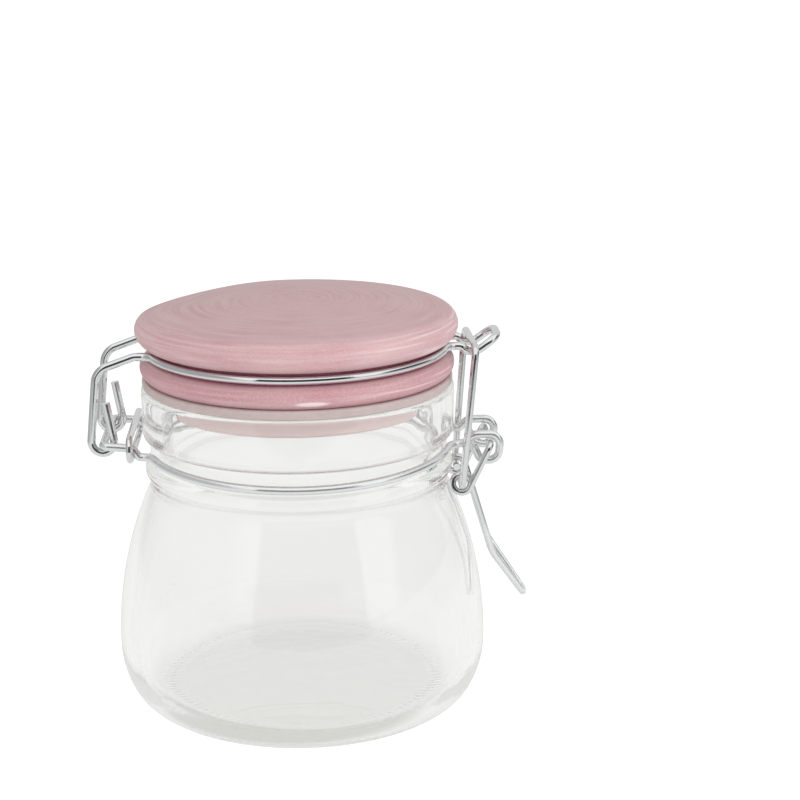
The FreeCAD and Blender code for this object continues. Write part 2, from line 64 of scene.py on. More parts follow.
# ---- outline of the jar, in millimetres about its own axis, as the part has it ----
BODY_RADIUS = 52.5
BODY_WIDEST_Z = 16.5
HEEL_WIDTH = 11.2
HEEL_ROUND = 9.5
BODY_WALL = 3.1
FOOT_WIDTH = 4.0
PUSH_UP = 3.4
BASE_GLASS = 4.2
FLOOR_DISH = 4.4
INNER_HEEL = 10.0
INNER_HEEL_ROUND = 8.0
INNER_NECK_ROUND = 10.0
NECK_RADIUS = 43.4
WAIST_RADIUS = 41.9
WAIST_ROUND = 4.5
WAIST_Z = 64.4
RIM_Z = 91.6
RIM_ROUND = 1.3
MOUTH_RADIUS = 38.0
BEAD_RADIUS = 43.1
BEAD_ROUND = 3.0
GROOVE_RADIUS = 41.5
GROOVE_TOP = 77.4
SHOULDER_ROUND = 1.5
WAIST_IN = WAIST_RADIUS + WAIST_ROUND - BODY_RADIUS
WAIST_RISE = WAIST_Z - BODY_WIDEST_Z
# the long arc ends upright at the barrel's widest point and touches the waist's rounding
BARREL_ARC = (WAIST_IN**2 + WAIST_RISE**2 - WAIST_ROUND**2) / (2 * (BODY_RADIUS - WAIST_RADIUS))

# ---- outline of the gasket and the lid ----
GASKET_THICK = 2.6
GASKET_RADIUS = 43.0
GASKET_BORE = 36.6
GASKET_LIP = 0.8
PLUG_RADIUS = 36.1
PLUG_TIP = 35.2
PLUG_Z = 85.2
PLUG_RECESS = 3.0
PLUG_FOOT = 5.0
RECESS_SLOPE = 2.0
FOOT_INSIDE_ROUND = 1.0
FOOT_OUTSIDE_ROUND = 1.5
FLANGE_Z = RIM_Z + GASKET_THICK
FLANGE_SEAT = 41.0
FLANGE_RADIUS = 43.6
FLANGE_BELLY_Z = 97.14
FLANGE_TOP = (41.2, 100.1)
LID_GROOVE_RADIUS = 39.9
LID_GROOVE_Z = (100.6, 103.6)
DISC_RADIUS = 44.6
DISC_ROUND = 4.3
DISC_CROWN = 3.0
DISC_LEDGE = 1.4

SAG_TURN = radians(146)  # middle of the disc's sagged edge, from the latch
SAG_HALF = radians(52)
LID_MIDDLE_Z = 103  # height on the axis that the lid's wobble draws its surface towards
SLOW_WOBBLE = 0.035  # how much of each wobble there is to a millimetre
FINE_WOBBLE = 0.11

# ---- places on the jar where its small forms begin and end, in millimetres ----
SEAM_START_Z = 26  # the mould's seams rise from here over the next length
SEAM_RISE = 16
RIM_MARGIN = 1.5  # seams and waves stop this far below the rim
NECK_START_Z = 70  # above this the wall is the neck's, and its middle has the radius below
NECK_MIDDLE = 39.8
WAVE_START_Z = 6
WAVE_RISE = 12
WAVE_TURNS = 1.6  # the inner wall's waves: how many round the jar, and how far one reaches up it
WAVE_HEIGHT = 34
STREAK_TURNS = 5  # and its streaks, whose pattern is set apart from the waves' own
STREAK_HEIGHT = 90
STREAK_APART = 7

RIDGES = 100  # small ridges under the foot
JAR_TURN = 4 * RIDGES  # steps round the jar, four for each ridge
LID_TURN = 288
GASKET_TURN = 240


def linear(hex_colour, alpha=1.0):
    """Linear RGBA of an sRGB hex colour."""
    channels = [int(hex_colour[i : i + 2], 16) / 255 for i in (0, 2, 4)]
    return (*[c / 12.92 if c <= 0.04045 else ((c + 0.055) / 1.055) ** 2.4 for c in channels], alpha)


# ---- sizes and colours that a user would change ----
def length(name, text, value):
    return bpy.props.FloatProperty(name=name, description=text, default=value * MM, min=0, unit="LENGTH")


def colour(name, text, hex_colour):
    return bpy.props.FloatVectorProperty(
        name=name, description=text, default=linear(hex_colour)[:3], size=3, min=0, max=1, subtype="COLOR"
    )


def share(name, text, value):
    return bpy.props.FloatProperty(name=name, description=text, default=value, min=0, max=1, subtype="FACTOR")


class JarGlass(bpy.types.PropertyGroup):
    ridge_depth: length("Ridge depth", "Depth of the small ridges under the foot", 0.28)
    seam_height: length("Seam height", "Height of the mould's seam on the outside", 0.12)
    seam_turn: bpy.props.FloatProperty(
        name="Seam direction", description="Where the seam stands, from the latch", default=radians(-93.5),
        subtype="ANGLE",
    )
    waviness: length("Waviness", "How far the inner wall wanders from a true round", 0.22)
    tint: colour("Tint", "Colour of the glass as light crosses a wall", "FCFCFC")


class LidGlaze(bpy.types.PropertyGroup):
    wobble: length("Wobble", "How far the glazed surface wanders inwards", 0.25)
    sag: length("Sag", "How far the disc's edge sagged behind the hinge side in firing", 1.5)
    glaze: colour("Glaze", "The glaze where it lies thick", "C4959A")
    thin_glaze: colour("Thin glaze", "The glaze where brushing left it thin", "D0AEB0")
    # the pooled colour is also laid on the flange as painted shade
    pooled: colour("Pooled glaze", "The glaze where it ran together", "A8606E")
    # the bare colour also gives the painted highlights on the lid's edges and the painted light on the plug
    bare: colour("Bare glaze", "The glaze where the white clay shows through it", "ECD9D7")
    roughness: share("Roughness", "Roughness of the glaze", 0.42)


class GasketRubber(bpy.types.PropertyGroup):
    rubber: colour("Rubber", "Colour of the rubber", "C0B0AE")


class ClosureWire(bpy.types.PropertyGroup):
    steel: colour("Steel", "Colour of the bright plating", "F0F1F2")
    roughness: share("Roughness", "Roughness of the bright plating", 0.1)
    neck_roughness: share("Neck wires' roughness", "Roughness of the duller plating round the neck", 0.16)


# ---- outlines ----
def height_at(centre, radius, x, side):
    """Height of the point at x that lies the given distance from centre, above it or below it by side."""
    return centre.z + side * sqrt(radius**2 - (x - centre.x) ** 2)


def point(x, z):
    return Vector((x, 0, z))


class Outline:
    """Half section of a turned piece, drawn from a first point by straight runs and swept arcs."""

    def __init__(self, start, grain):
        self.bm = bmesh.new()
        self.tip = self.bm.verts.new(start)
        self.grain = grain

    def line_to(self, end, steps=1):
        start = self.tip.co.copy()
        for i in range(1, steps + 1):
            self.tip = bmesh.ops.extrude_vert_indiv(self.bm, verts=[self.tip])["verts"][0]
            self.tip.co = start.lerp(end, i / steps)

    def arc_to(self, centre, end):
        first = self.tip.co - centre
        last = end - centre
        turn = atan2(last.z, last.x) - atan2(first.z, first.x)
        turn = (turn + pi) % (2 * pi) - pi
        steps = max(6, round(abs(turn) * first.length / self.grain))
        swept = bmesh.ops.spin(
            self.bm, geom=[self.tip], cent=centre, axis=(0, -1, 0), angle=turn, steps=steps, use_merge=False
        )
        self.tip = next(g for g in swept["geom_last"] if isinstance(g, bmesh.types.BMVert))

    def turned(self, steps):
        """Spins the outline into a closed shell about the z axis, in millimetres, and gives its bmesh."""
        bm = self.bm
        geometry = bm.verts[:] + bm.edges[:]
        bmesh.ops.spin(
            bm, geom=geometry, cent=(0, 0, 0), axis=(0, 0, 1), angle=2 * pi, steps=steps, use_merge=True
        )
        bmesh.ops.remove_doubles(bm, verts=bm.verts[:], dist=0.0005)
        bmesh.ops.recalc_face_normals(bm, faces=bm.faces[:])
        return bm


def heel_arcs(radius, top, width, floor, tight):
    """Centres of the two arcs from a floor's edge up to the wall, and the point where they meet."""
    height = top - floor
    wide = (width**2 + height**2 - 2 * height * tight) / (2 * (width - tight))
    low = point(radius - width, floor + tight)
    high = point(radius - wide, top)
    return low, high, high + (low - high).normalized() * wide


def dish_centre(edge, middle):
    """Centre of a shallow dish's arc from its edge to its middle on the axis."""
    sag = middle.z - edge.z
    return point(0, middle.z - (edge.x**2 + sag**2) / (2 * sag))


def touch(centre, radius, toward):
    """Point of an arc on the line to another arc's centre."""
    return centre + (toward - centre).normalized() * radius


def jar_outline():
    outer = point(BODY_RADIUS - BARREL_ARC, BODY_WIDEST_Z)
    inner_radius = BODY_RADIUS - BODY_WALL
    inner_arc = BARREL_ARC - BODY_WALL
    foot = BODY_RADIUS - HEEL_WIDTH
    base_top = point(0, PUSH_UP + BASE_GLASS)
    push_up = point(0, PUSH_UP)
    floor_edge = point(inner_radius - INNER_HEEL, base_top.z - FLOOR_DISH)
    foot_inside = point(foot - FOOT_WIDTH, 0)

    line = Outline(push_up, 2.6)
    line.arc_to(dish_centre(foot_inside, push_up), foot_inside)
    line.line_to(point(foot, 0), 4)
    low, high, meet = heel_arcs(BODY_RADIUS, BODY_WIDEST_Z, HEEL_WIDTH, 0, HEEL_ROUND)
    line.grain = 1.6
    line.arc_to(low, meet)
    line.arc_to(high, point(BODY_RADIUS, BODY_WIDEST_Z))
    waist = point(WAIST_RADIUS + WAIST_ROUND, 0)
    waist.z = height_at(outer, BARREL_ARC + WAIST_ROUND, waist.x, 1)
    line.grain = 2.2
    line.arc_to(outer, touch(outer, BARREL_ARC, waist))
    bead = point(BEAD_RADIUS - BEAD_ROUND, 0)
    bead.z = height_at(waist, WAIST_ROUND + BEAD_ROUND, bead.x, 1)
    line.grain = 0.45
    line.arc_to(waist, touch(waist, WAIST_ROUND, bead))
    line.arc_to(bead, point(GROOVE_RADIUS, height_at(bead, BEAD_ROUND, GROOVE_RADIUS, 1)))
    groove = 0.5  # rounding at the groove's upper corner
    line.line_to(point(GROOVE_RADIUS, GROOVE_TOP - groove), 3)
    line.arc_to(point(GROOVE_RADIUS + groove, GROOVE_TOP - groove), point(GROOVE_RADIUS + groove, GROOVE_TOP))
    shoulder = point(NECK_RADIUS - SHOULDER_ROUND, GROOVE_TOP + SHOULDER_ROUND)
    line.grain = 0.3
    line.arc_to(shoulder, point(NECK_RADIUS, shoulder.z))
    lip = point(NECK_RADIUS - RIM_ROUND, RIM_Z - RIM_ROUND)
    line.line_to(point(NECK_RADIUS, lip.z), 8)
    line.arc_to(lip, point(lip.x, RIM_Z))
    mouth = point(MOUTH_RADIUS + RIM_ROUND, lip.z)
    line.line_to(point(mouth.x, RIM_Z), 3)
    line.arc_to(mouth, point(MOUTH_RADIUS, mouth.z))
    throat = point(MOUTH_RADIUS + INNER_NECK_ROUND, 0)
    throat.z = height_at(outer, inner_arc + INNER_NECK_ROUND, throat.x, 1)
    line.line_to(point(MOUTH_RADIUS, throat.z), 10)
    line.grain = 0.8
    line.arc_to(throat, touch(throat, INNER_NECK_ROUND, outer))
    line.grain = 2.2
    line.arc_to(outer, point(inner_radius, BODY_WIDEST_Z))
    low, high, meet = heel_arcs(inner_radius, BODY_WIDEST_Z, INNER_HEEL, floor_edge.z, INNER_HEEL_ROUND)
    line.grain = 1.6
    line.arc_to(high, meet)
    line.arc_to(low, floor_edge)
    line.grain = 2.6
    line.arc_to(dish_centre(floor_edge, base_top), base_top)
    return line


def gasket_outline():
    edge = GASKET_RADIUS - GASKET_LIP
    top = RIM_Z + GASKET_THICK
    line = Outline(point(GASKET_BORE, RIM_Z), 0.15)
    line.line_to(point(edge, RIM_Z), 6)
    line.arc_to(point(edge, RIM_Z + GASKET_LIP), point(GASKET_RADIUS, RIM_Z + GASKET_LIP))
    line.line_to(point(GASKET_RADIUS, top - GASKET_LIP), 3)
    line.arc_to(point(edge, top - GASKET_LIP), point(edge, top))
    line.line_to(point(GASKET_BORE, top), 6)
    line.line_to(point(GASKET_BORE, RIM_Z), 3)
    return line


def circle_centre(a, b, c):
    """Centre of the circle through three points of the outline's plane."""
    chords = [(p + q) / 2 for p, q in ((a, b), (b, c))]
    ways = [b - a, c - b]
    det = ways[0].x * ways[1].z - ways[0].z * ways[1].x
    dots = [m.dot(w) for m, w in zip(chords, ways)]
    return point(
        (dots[0] * ways[1].z - dots[1] * ways[0].z) / det, (ways[0].x * dots[1] - ways[1].x * dots[0]) / det
    )


def lid_outline():
    recess = PLUG_Z + PLUG_RECESS
    hollow = PLUG_TIP - PLUG_FOOT
    foot_in = point(hollow + FOOT_INSIDE_ROUND, PLUG_Z + FOOT_INSIDE_ROUND)
    foot_out = point(PLUG_TIP - FOOT_OUTSIDE_ROUND, PLUG_Z + FOOT_OUTSIDE_ROUND)
    seat = point(FLANGE_SEAT, FLANGE_Z)
    belly = point(FLANGE_RADIUS, FLANGE_BELLY_Z)
    flange_top = point(*FLANGE_TOP)
    groove_low, groove_top = LID_GROOVE_Z
    ledge = point(LID_GROOVE_RADIUS + DISC_LEDGE, groove_top)
    rim = point(DISC_RADIUS - DISC_ROUND, 0)
    rim.z = ledge.z + sqrt(DISC_ROUND**2 - (ledge.x - rim.x) ** 2)
    crown = point(0, rim.z + DISC_ROUND + DISC_CROWN)
    dome = (rim.x**2 + (DISC_ROUND + DISC_CROWN) ** 2 - DISC_ROUND**2) / (2 * DISC_CROWN)
    dome_axis = point(0, crown.z - dome)

    line = Outline(point(0, recess), 0.5)
    line.line_to(point(hollow - RECESS_SLOPE, recess), 8)
    line.line_to(point(hollow, foot_in.z), 3)
    line.arc_to(foot_in, point(foot_in.x, PLUG_Z))
    line.line_to(point(foot_out.x, PLUG_Z), 2)
    line.arc_to(foot_out, point(PLUG_TIP, foot_out.z))
    line.line_to(point(PLUG_RADIUS, FLANGE_Z), 5)
    line.line_to(seat, 4)
    line.arc_to(circle_centre(seat, belly, flange_top), belly)
    line.arc_to(circle_centre(seat, belly, flange_top), flange_top)
    line.line_to(point(LID_GROOVE_RADIUS, groove_low), 2)
    line.line_to(point(LID_GROOVE_RADIUS, groove_top), 4)
    line.line_to(ledge, 2)
    line.arc_to(rim, point(DISC_RADIUS, rim.z))
    line.arc_to(rim, dome_axis + (rim - dome_axis).normalized() * dome)
    line.grain = 1.2
    line.arc_to(dome_axis, crown)
    return line


# ---- shaping the turned shells ----
def around(co):
    """Angle of a point about the jar's axis, and its distance from it."""
    return atan2(co.y, co.x), sqrt(co.x**2 + co.y**2)


def ridge_foot(bm, depth):
    """Presses the flat foot into small ridges that point at the jar's axis."""
    foot = BODY_RADIUS - HEEL_WIDTH
    for vert in bm.verts:
        angle, radius = around(vert.co)
        inside = (radius - foot + FOOT_WIDTH) * (foot - radius)
        if vert.co.z < 0.01 and inside > 0.1:
            vert.co.z += depth * (0.5 - 0.5 * cos(angle * RIDGES))


def raise_seam(bm, height, turn):
    """Raises the mould's two seams on the outer wall; they fade towards the widest part."""
    step = 2 * pi / JAR_TURN
    for vert in bm.verts:
        angle, radius = around(vert.co)
        outside = radius > wall_middle(vert.co.z)
        fade = min(1.0, max(0.0, (vert.co.z - SEAM_START_Z) / SEAM_RISE))
        fade *= min(1.0, max(0.0, (RIM_Z - RIM_MARGIN - vert.co.z) / 2))
        near = abs((angle - turn + pi / 2) % pi - pi / 2)
        if outside and near < step and fade > 0:
            lift = height * fade * (1 - near / step)
            vert.co.x += lift * cos(angle)
            vert.co.y += lift * sin(angle)


def wall_middle(z):
    """Radius halfway through the jar's wall."""
    if z > NECK_START_Z:
        return NECK_MIDDLE
    return BODY_RADIUS - BARREL_ARC - BODY_WALL / 2 + sqrt(BARREL_ARC**2 - (z - BODY_WIDEST_Z) ** 2)


def wave_inside(bm, depth):
    """Lets the inner wall wander, because only the outside of pressed glass takes the mould's true round."""
    for vert in bm.verts:
        angle, radius = around(vert.co)
        z = vert.co.z
        if WAVE_START_Z < z < RIM_Z - RIM_MARGIN and 5 < radius < wall_middle(z):
            wave = Vector((cos(angle) * WAVE_TURNS, sin(angle) * WAVE_TURNS, z / WAVE_HEIGHT))
            streak_z = z / STREAK_HEIGHT + STREAK_APART
            streak = Vector((cos(angle) * STREAK_TURNS, sin(angle) * STREAK_TURNS, streak_z))
            lift = noise.noise(wave) + 0.35 * noise.noise(streak)
            grow = depth * lift * min(1.0, (z - WAVE_START_Z) / WAVE_RISE)
            vert.co.x += grow * cos(angle)
            vert.co.y += grow * sin(angle)


def sag_edge(bm, depth):
    """Lowers one side of the disc's upper edge, which sagged a little in the kiln; its underside stays."""
    for vert in bm.verts:
        angle, radius = around(vert.co)
        off = abs((angle - SAG_TURN + pi) % (2 * pi) - pi)
        rise = vert.co.z - LID_GROOVE_Z[1]
        if off < SAG_HALF and rise > 0:
            near = 0.5 + 0.5 * cos(pi * off / SAG_HALF)
            vert.co.z -= depth * near * min(1.0, rise / DISC_ROUND) * (radius / DISC_RADIUS) ** 2


def wander_glaze(bm, depth):
    """Draws the glazed disc and flange in a little, unevenly, as pressed and dipped stoneware is."""
    centre = Vector((0, 0, LID_MIDDLE_Z))
    for vert in bm.verts:
        co = vert.co
        if co.z > FLANGE_Z + 0.5:
            slow = noise.noise(co * SLOW_WOBBLE + Vector((3, 1, 8)))
            fine = noise.noise(co * FINE_WOBBLE + Vector((9, 4, 2)))
            lift = depth * (0.5 + 0.42 * slow + 0.16 * fine)
            vert.co = co - (co - centre).normalized() * lift


def finish_piece(bm, name, node, material):
    """Turns a shell drawn in millimetres about the jar's axis into a piece in its place."""
    bmesh.ops.scale(bm, vec=(MM, MM, MM), verts=bm.verts[:])
    bmesh.ops.translate(bm, vec=AXIS, verts=bm.verts[:])
    bmesh.ops.recalc_face_normals(bm, faces=bm.faces[:])
    for face in bm.faces:
        face.smooth = True
    mesh = bpy.data.meshes.new(name)
    bm.to_mesh(mesh)
    bm.free()
    piece = bpy.data.objects.new(name, mesh)
    bpy.context.scene.collection.objects.link(piece)
    mesh.materials.append(material)
    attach(piece, ROOT)
    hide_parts(node)


# ---- materials ----
COLOURS = {"data_type": "RGBA"}
SOFT = {"interpolation_type": "SMOOTHSTEP"}

# how much of a pattern there is to a millimetre
FLOW_LINES = (0.11, 0.11, 0.022)  # lines 9 mm apart round the jar, several times as long as they are wide
DIMPLES = 0.07  # 14 mm across
HAZE = 0.03
STROKES = 0.62  # 1.6 mm wide across the profile
CLOUDS = 0.045  # 22 mm across
SPECKS = 2.0  # half a millimetre
RUBBER_SKIN = 0.35  # 3 mm
BLOOM = 0.18  # 5.5 mm
PLATING_GRAIN = 2.4  # 0.4 mm, far coarser than it is, so that it shows

TRAPPED_AFTER = 4.5  # bounces after which light that is turned back inside a wall leaves it
ROUGHNESS_SPREAD = (-0.06, 0.08)  # how far a surface's roughness falls and rises about its own
POOL_Z = 102.0  # middle height of the lid's groove, where the glaze pooled
POOL_HALF = 2.6
FLANGE_PAINTED_SHADE = 0.3  # how much of the pooled colour is laid on the flange as painted shade
PLUG_PAINTED_LIGHT = 0.85  # how much the plug is painted lighter, towards the bare colour, as painted light
GLINT_PLACE = (4.0, -43.0, 96.0)  # the painted highlight's middle and half sizes, in millimetres from the axis
GLINT_HALF = (5.5, 20.0, 0.8)
THUMB_LOOP_Z = (48, 53)  # the lever is dull below the first height, and bright above the second
THUMB_POLISH = 0.55  # how much of the surface is clean metal there
NECK_POLISH = 0.75  # and on the neck's wires


def add(tree, kind, settings=None, **inputs):
    """One node with its settings; each input is a value, or another node or one of its outputs to link."""
    node = tree.nodes.new(kind)
    for name, value in (settings or {}).items():
        setattr(node, name, value)
    for name, value in inputs.items():
        key = int(name[1:]) if name[0] == "i" and name[1:].isdigit() else name.replace("_", " ")
        if isinstance(value, bpy.types.Node):
            value = next(output for output in value.outputs if output.enabled)
        if isinstance(value, bpy.types.NodeSocket):
            tree.links.new(value, node.inputs[key])
        else:
            node.inputs[key].default_value = value
    return node


def new_material(name):
    material = bpy.data.materials.new(name)
    material.use_nodes = True
    material.node_tree.nodes.clear()
    return material, material.node_tree


def from_axis(tree):
    """Object coordinates in millimetres, measured from the jar's axis."""
    place = add(tree, "ShaderNodeTexCoord").outputs["Object"]
    return add(tree, "ShaderNodeMapping", Vector=place, Location=-AXIS / MM, Scale=(1 / MM, 1 / MM, 1 / MM))


def soda_lime_glass(tint):
    """Pressed soda-lime glass: clear, very faintly grey-green in its thickness, with fire-polished skin and
    slow flow lines from the mould that bend what is seen through it."""
    material, tree = new_material("pressed soda-lime glass")
    place = from_axis(tree)
    flow = add(tree, "ShaderNodeMapping", Vector=place, Scale=FLOW_LINES)
    lines = add(tree, "ShaderNodeTexNoise", Vector=flow, Scale=1.0, Detail=2.0, Roughness=0.4)
    # a skin of shallow dimples, left by the mould's chill
    dimples = add(tree, "ShaderNodeTexNoise", Vector=place, Scale=DIMPLES, Detail=1.0)
    height = add(tree, "ShaderNodeMath", {"operation": "MULTIPLY_ADD"}, i0=dimples, i1=0.6, i2=lines)
    bump = add(tree, "ShaderNodeBump", Strength=0.16, Distance=0.0006, Height=height)
    # roughness rises a little in handling haze
    haze = add(tree, "ShaderNodeTexNoise", Vector=place, Scale=HAZE, Detail=3.0)
    rough = add(tree, "ShaderNodeMapRange", Value=haze, From_Min=0.4, From_Max=0.75, To_Min=0.0, To_Max=0.03)
    glass = add(
        tree, "ShaderNodeBsdfPrincipled", Base_Color=(*tint, 1), Roughness=rough, IOR=1.52,
        Transmission_Weight=1.0, Normal=bump,
    )
    # lamps reach what stands inside and behind the glass, and trapped light leaves it
    path = add(tree, "ShaderNodeLightPath").outputs
    lamp_or_bounce = add(
        tree, "ShaderNodeMath", {"operation": "MAXIMUM"}, i0=path["Is Shadow Ray"], i1=path["Is Diffuse Ray"]
    )
    trapped = add(
        tree, "ShaderNodeMath", {"operation": "GREATER_THAN"}, i0=path["Ray Depth"], i1=TRAPPED_AFTER
    )
    passes = add(tree, "ShaderNodeMath", {"operation": "MAXIMUM"}, i0=lamp_or_bounce, i1=trapped)
    loss = add(
        tree, "ShaderNodeMix", COLOURS, i0=trapped, i6=(0.95, 0.955, 0.95, 1), i7=(0.955, 0.96, 0.95, 1)
    )
    clear = add(tree, "ShaderNodeBsdfTransparent", Color=loss)
    mix = add(tree, "ShaderNodeMixShader", Fac=passes, i1=glass, i2=clear)
    add(tree, "ShaderNodeOutputMaterial", Surface=mix)
    return material


def pink_glaze(sizes):
    """Pink glaze on white stoneware: brushed round the lid, deeper where it pooled in the groove, with a soft
    gloss;
    its edges carry whitish painted highlights, the flange painted shade and the plug painted light."""
    material, tree = new_material("pink glaze on stoneware")
    thin, bare = (*sizes.thin_glaze, 1), (*sizes.bare, 1)
    place = from_axis(tree)
    split = add(tree, "ShaderNodeSeparateXYZ", Vector=place)
    height = split.outputs["Z"]
    flat = add(tree, "ShaderNodeCombineXYZ", X=split.outputs["X"], Y=split.outputs["Y"])
    radius = add(tree, "ShaderNodeVectorMath", {"operation": "LENGTH"}, i0=flat)
    around_lid = add(tree, "ShaderNodeVectorMath", {"operation": "NORMALIZE"}, i0=flat)
    turned = add(tree, "ShaderNodeSeparateXYZ", Vector=around_lid).outputs
    # brush strokes, narrow across the profile and tens of millimetres long round the lid
    down = add(tree, "ShaderNodeMath", {"operation": "SUBTRACT"}, i0=height, i1=radius)
    across = add(tree, "ShaderNodeMath", {"operation": "MULTIPLY"}, i0=down, i1=STROKES)
    stroke_place = add(tree, "ShaderNodeCombineXYZ", X=turned["X"], Y=turned["Y"], Z=across)
    strokes = add(tree, "ShaderNodeTexNoise", Vector=stroke_place, Scale=1.5, Detail=4.0, Roughness=0.55)
    clouds = add(tree, "ShaderNodeTexNoise", Vector=place, Scale=CLOUDS, Detail=3.0, Roughness=0.5)
    speckle = add(tree, "ShaderNodeTexNoise", Vector=place, Scale=SPECKS, Detail=2.0)
    brushed = add(tree, "ShaderNodeMapRange", Value=strokes, From_Min=0.36, From_Max=0.64)
    base = add(tree, "ShaderNodeMix", COLOURS, i0=brushed, i6=(*sizes.glaze, 1), i7=thin)
    depth = add(tree, "ShaderNodeMapRange", Value=clouds, From_Min=0.38, From_Max=0.62, To_Min=0, To_Max=0.7)
    cloudy = add(tree, "ShaderNodeMix", COLOURS, i0=depth, i6=base, i7=thin)
    # the glaze runs together in the groove under the disc, and the flange gets some of its colour as painted
    # shade
    groove = add(
        tree, "ShaderNodeMapRange", SOFT,
        Value=radius, From_Min=LID_GROOVE_RADIUS + 0.2, From_Max=LID_GROOVE_RADIUS + 2.2, To_Min=1, To_Max=0,
    )
    between = add(tree, "ShaderNodeMath", {"operation": "COMPARE"}, i0=height, i1=POOL_Z, i2=POOL_HALF)
    pooled = add(tree, "ShaderNodeMath", {"operation": "MULTIPLY"}, i0=groove, i1=between)
    flange = add(
        tree, "ShaderNodeMapRange", Value=height,
        From_Min=FLANGE_TOP[1] + 0.5, From_Max=FLANGE_TOP[1] - 0.5, To_Min=0, To_Max=FLANGE_PAINTED_SHADE,
    )
    # the groove's pooled glaze together with the flange's painted shade
    thick = add(tree, "ShaderNodeMath", {"operation": "MAXIMUM"}, i0=pooled, i1=flange)
    pooled_and_shaded = add(tree, "ShaderNodeMix", COLOURS, i0=thick, i6=cloudy, i7=(*sizes.pooled, 1))
    # painted light lightens the plug below the flange, and painted highlights streak the disc's edge
    plug = add(
        tree, "ShaderNodeMapRange", SOFT,
        Value=height, From_Min=FLANGE_Z - 0.4, From_Max=FLANGE_Z + 0.4, To_Min=PLUG_PAINTED_LIGHT, To_Max=0,
    )
    plain = add(tree, "ShaderNodeMix", COLOURS, i0=plug, i6=pooled_and_shaded, i7=bare)
    # painted highlights: whitish broken streaks along the disc's edge, strongest on the right where the light
    # falls
    edge = add(
        tree, "ShaderNodeMapRange", SOFT, Value=radius, From_Min=DISC_RADIUS - 2.6, From_Max=DISC_RADIUS - 0.9
    )
    broken = add(tree, "ShaderNodeMapRange", SOFT, Value=strokes, From_Min=0.5, From_Max=0.66, To_Max=0.6)
    lit_side = add(
        tree, "ShaderNodeMapRange", SOFT, Value=turned["X"], From_Min=0.2, From_Max=0.8, To_Min=0.15, To_Max=1
    )
    edge_sheen = add(tree, "ShaderNodeMath", {"operation": "MULTIPLY"}, i0=edge, i1=broken)
    glints = add(tree, "ShaderNodeMath", {"operation": "MULTIPLY"}, i0=edge_sheen, i1=lit_side)
    with_glints = add(tree, "ShaderNodeMix", COLOURS, i0=glints, i6=plain, i7=bare)
    # a painted highlight: a whitish streak 11 mm long and 1.6 mm high along the flange's front
    offset = [-centre / half for centre, half in zip(GLINT_PLACE, GLINT_HALF)]
    shrunk = [1 / half for half in GLINT_HALF]
    mark = add(tree, "ShaderNodeMapping", Vector=place, Location=offset, Scale=shrunk)
    far = add(tree, "ShaderNodeVectorMath", {"operation": "LENGTH"}, i0=mark)
    flange_glint = add(tree, "ShaderNodeMapRange", SOFT, Value=far, From_Min=0.5, To_Min=0.9, To_Max=0)
    marked = add(tree, "ShaderNodeMix", COLOURS, i0=flange_glint, i6=with_glints, i7=bare)
    # the white clay shows through in fine specks
    specks = add(tree, "ShaderNodeMapRange", Value=speckle, From_Min=0.45, From_Max=0.75, To_Max=0.2)
    shade = add(tree, "ShaderNodeMix", COLOURS, i0=specks, i6=marked, i7=bare)
    relief = add(tree, "ShaderNodeMath", {"operation": "MULTIPLY_ADD"}, i0=speckle, i1=0.25, i2=strokes)
    bump = add(tree, "ShaderNodeBump", Strength=0.22, Distance=0.0004, Height=relief)
    low, high = (sizes.roughness + part for part in ROUGHNESS_SPREAD)
    rough = add(tree, "ShaderNodeMapRange", Value=clouds, To_Min=low, To_Max=high)
    glaze = add(tree, "ShaderNodeBsdfPrincipled", Base_Color=shade, Roughness=rough, IOR=1.5, Normal=bump)
    add(tree, "ShaderNodeOutputMaterial", Surface=glaze)
    return material


def gasket_rubber(rubber):
    """Natural grey rubber: slightly see-through at its edge, satin, with a moulded skin."""
    material, tree = new_material("grey natural rubber")
    place = from_axis(tree)
    skin = add(tree, "ShaderNodeTexNoise", Vector=place, Scale=RUBBER_SKIN, Detail=3.0)
    dark, pale = ([min(1, c * part) for c in rubber] for part in (0.86, 1.12))
    shade = add(tree, "ShaderNodeMix", COLOURS, i0=skin, i6=(*dark, 1), i7=(*pale, 1))
    bump = add(tree, "ShaderNodeBump", Strength=0.1, Distance=0.0002, Height=skin)
    body = add(
        tree, "ShaderNodeBsdfPrincipled", Base_Color=shade, Roughness=0.38, IOR=1.52, Subsurface_Weight=0.35,
        Subsurface_Scale=0.002, Subsurface_Radius=(1.0, 0.9, 0.8), Normal=bump,
    )
    add(tree, "ShaderNodeOutputMaterial", Surface=body)
    return material


def tinned_wire(name, steel, roughness, polish):
    """Drawn steel wire with tin plating: nearly a mirror where it is bright, with faint draw marks, a duller
    bloom, and a whitish skin where it is touched."""
    material, tree = new_material(name)
    place = from_axis(tree)
    bloom = add(tree, "ShaderNodeTexNoise", Vector=place, Scale=BLOOM, Detail=3.0, Roughness=0.6)
    grain = add(tree, "ShaderNodeTexNoise", Vector=place, Scale=PLATING_GRAIN, Detail=2.0)
    dull = (*[c * 0.88 for c in steel], 1)
    shade = add(tree, "ShaderNodeMix", COLOURS, i0=bloom, i6=dull, i7=(*steel, 1))
    low, high = (roughness + part for part in ROUGHNESS_SPREAD)
    rough = add(tree, "ShaderNodeMapRange", Value=bloom, From_Min=0.3, From_Max=0.7, To_Min=low, To_Max=high)
    split = add(tree, "ShaderNodeSeparateXYZ", Vector=place)
    clean = add(
        tree, "ShaderNodeMapRange", Value=split.outputs["Z"],
        From_Min=THUMB_LOOP_Z[0], From_Max=THUMB_LOOP_Z[1], To_Min=THUMB_POLISH, To_Max=polish,
    )
    bump = add(tree, "ShaderNodeBump", Strength=0.05, Distance=0.0001, Height=grain)
    metal = add(
        tree, "ShaderNodeBsdfPrincipled", Base_Color=shade, Metallic=clean, Roughness=rough, Normal=bump
    )
    add(tree, "ShaderNodeOutputMaterial", Surface=metal)
    return material


